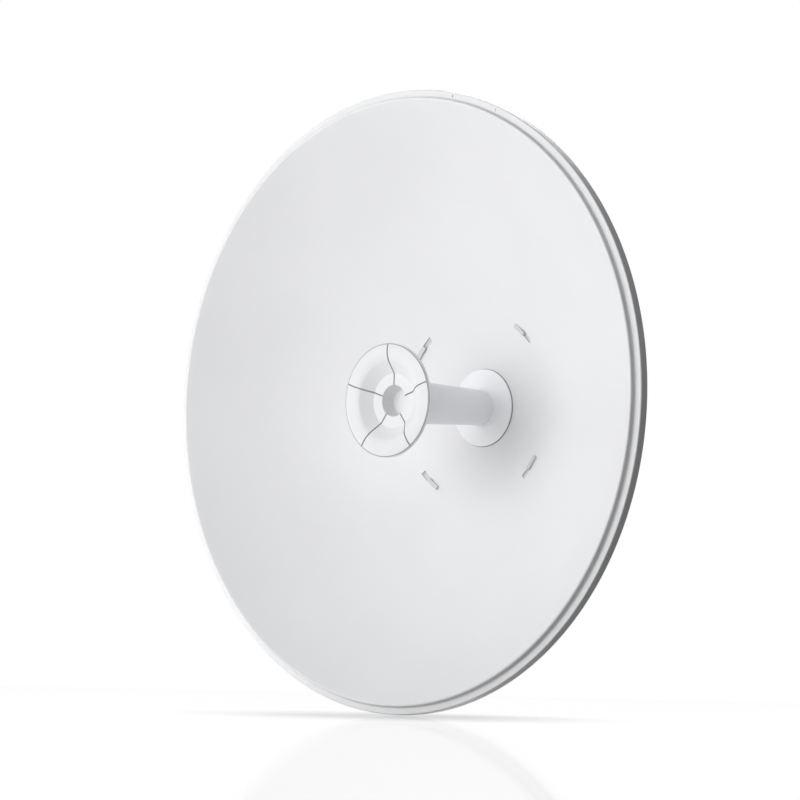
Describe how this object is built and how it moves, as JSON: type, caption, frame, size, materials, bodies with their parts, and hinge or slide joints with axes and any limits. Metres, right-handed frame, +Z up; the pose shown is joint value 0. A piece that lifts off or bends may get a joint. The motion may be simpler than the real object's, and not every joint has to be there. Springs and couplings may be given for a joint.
{
  "type": "outdoor wireless bridge with parabolic dish",
  "caption": "Round parabolic dish with a plug-in feed and radio unit, a shell-shaped sub-reflector cap and a tilting clamp for an upright pole.",
  "frame": {"origin": "on the axis of the pole the clamp closes on, at mid height of the clamp", "axes": "+Z up along the pole, -Y along the dish's boresight (the way it looks), +X to the right seen from the front"},
  "size_m": [0.6496, 0.3558, 0.6496],
  "materials": {
    "dish_paint": "satin",
    "cap_plastic": "semi-gloss",
    "feed_plastic": "fine matte",
    "hub_plastic": "fine matte",
    "bracket_steel": "galvanised",
    "plate_paint": "satin",
    "cast_alloy": "cast, matte",
    "bolt_steel": "zinc plated",
    "black_rubber": "matte",
    "bare_aluminium": "bare",
    "board_green": "solder mask",
    "shield_steel": "tinned",
    "pad_grey": "soft",
    "black_plastic": "matte",
    "clear_plastic": "clear",
    "lamp_lens": "diffuse",
    "level_plastic": "matte",
    "vial_liquid": "clear",
    "earth_brass": "bare"
  },
  "bodies": {
    "pole_mount": {"pole_bracket": "bracket_steel", "pole_saddle": "cast_alloy", "clamp_bolts": "bolt_steel", "pivot_bolts": "bolt_steel", "pivot_washers": "bolt_steel", "pivot_nuts": "bolt_steel", "tilt_lock_bolts": "bolt_steel", "tilt_lock_washers": "bolt_steel", "tilt_lock_nuts": "bolt_steel", "level_body": "level_plastic", "level_vial": "vial_liquid"},
    "tilt_head": {"tilt_bracket": "bracket_steel", "web_bolts": "bolt_steel", "web_nuts": "bolt_steel", "dish_plate": "plate_paint", "dish_lock_screw": "bolt_steel", "hub_housing": "hub_plastic", "hub_screws": "bolt_steel", "radio_case": "hub_plastic", "case_seal": "black_rubber", "case_lid": "hub_plastic", "feed_collar": "feed_plastic", "collar_gasket": "black_rubber", "feed_tube": "feed_plastic", "sub_reflector": "bare_aluminium", "sub_reflector_cap": "cap_plastic", "feed_horn": "bare_aluminium", "radio_board": "board_green", "shield_cans": "shield_steel", "thermal_pads": "pad_grey", "heat_sink": "bare_aluminium", "port_board": "board_green", "board_connector": "black_plastic", "ethernet_jack": "shield_steel", "reset_switch": "black_plastic", "status_lamps": "lamp_lens", "light_pipes": "clear_plastic", "release_spring": "bolt_steel", "port_door_pin": "bolt_steel", "star_washer": "bolt_steel", "earth_screw": "earth_brass"},
    "reflector": {"reflector_dish": "dish_paint"},
    "clamp_jaw": {"clamp_jaw": "cast_alloy", "clamp_washers": "bolt_steel", "clamp_nuts": "bolt_steel"},
    "port_door": {"port_door": "hub_plastic", "cable_grommet": "black_rubber"},
    "release_plunger": {"release_plunger": "black_plastic"},
    "reset_button": {"reset_button": "black_plastic"}
  },
  "joints": [
    {"name": "tilt_elevation", "type": "hinge", "parent": "pole_mount", "child": "tilt_head", "pos_m": [0, -0.092, 0], "axis": [1, 0, 0], "range_deg": [-20, 20]},
    {"name": "clamp_jaw_slide", "type": "slide", "parent": "pole_mount", "child": "clamp_jaw", "axis": [0, 1, 0], "range_m": [-0.012, 0.022]},
    {"name": "reflector_twist", "type": "hinge", "parent": "tilt_head", "child": "reflector", "pos_m": [0, -0.18, 0], "axis": [0, -1, 0], "range_deg": [0, 6.4]},
    {"name": "port_door_hinge", "type": "hinge", "parent": "tilt_head", "child": "port_door", "pos_m": [0, -0.1129, -0.0497], "axis": [-1, 0, 0], "range_deg": [0, 100]},
    {"name": "release_plunger_pull", "type": "slide", "parent": "tilt_head", "child": "release_plunger", "axis": [0, 0, 1], "range_m": [0, 0.003], "stiffness_N_per_m": 400, "springref_m": -0.004, "deforming": ["release_spring"]},
    {"name": "reset_press", "type": "slide", "parent": "tilt_head", "child": "reset_button", "axis": [0, 0, 1], "range_m": [0, 0.0008], "stiffness_N_per_m": 800, "springref_m": -0.001}
  ]
}
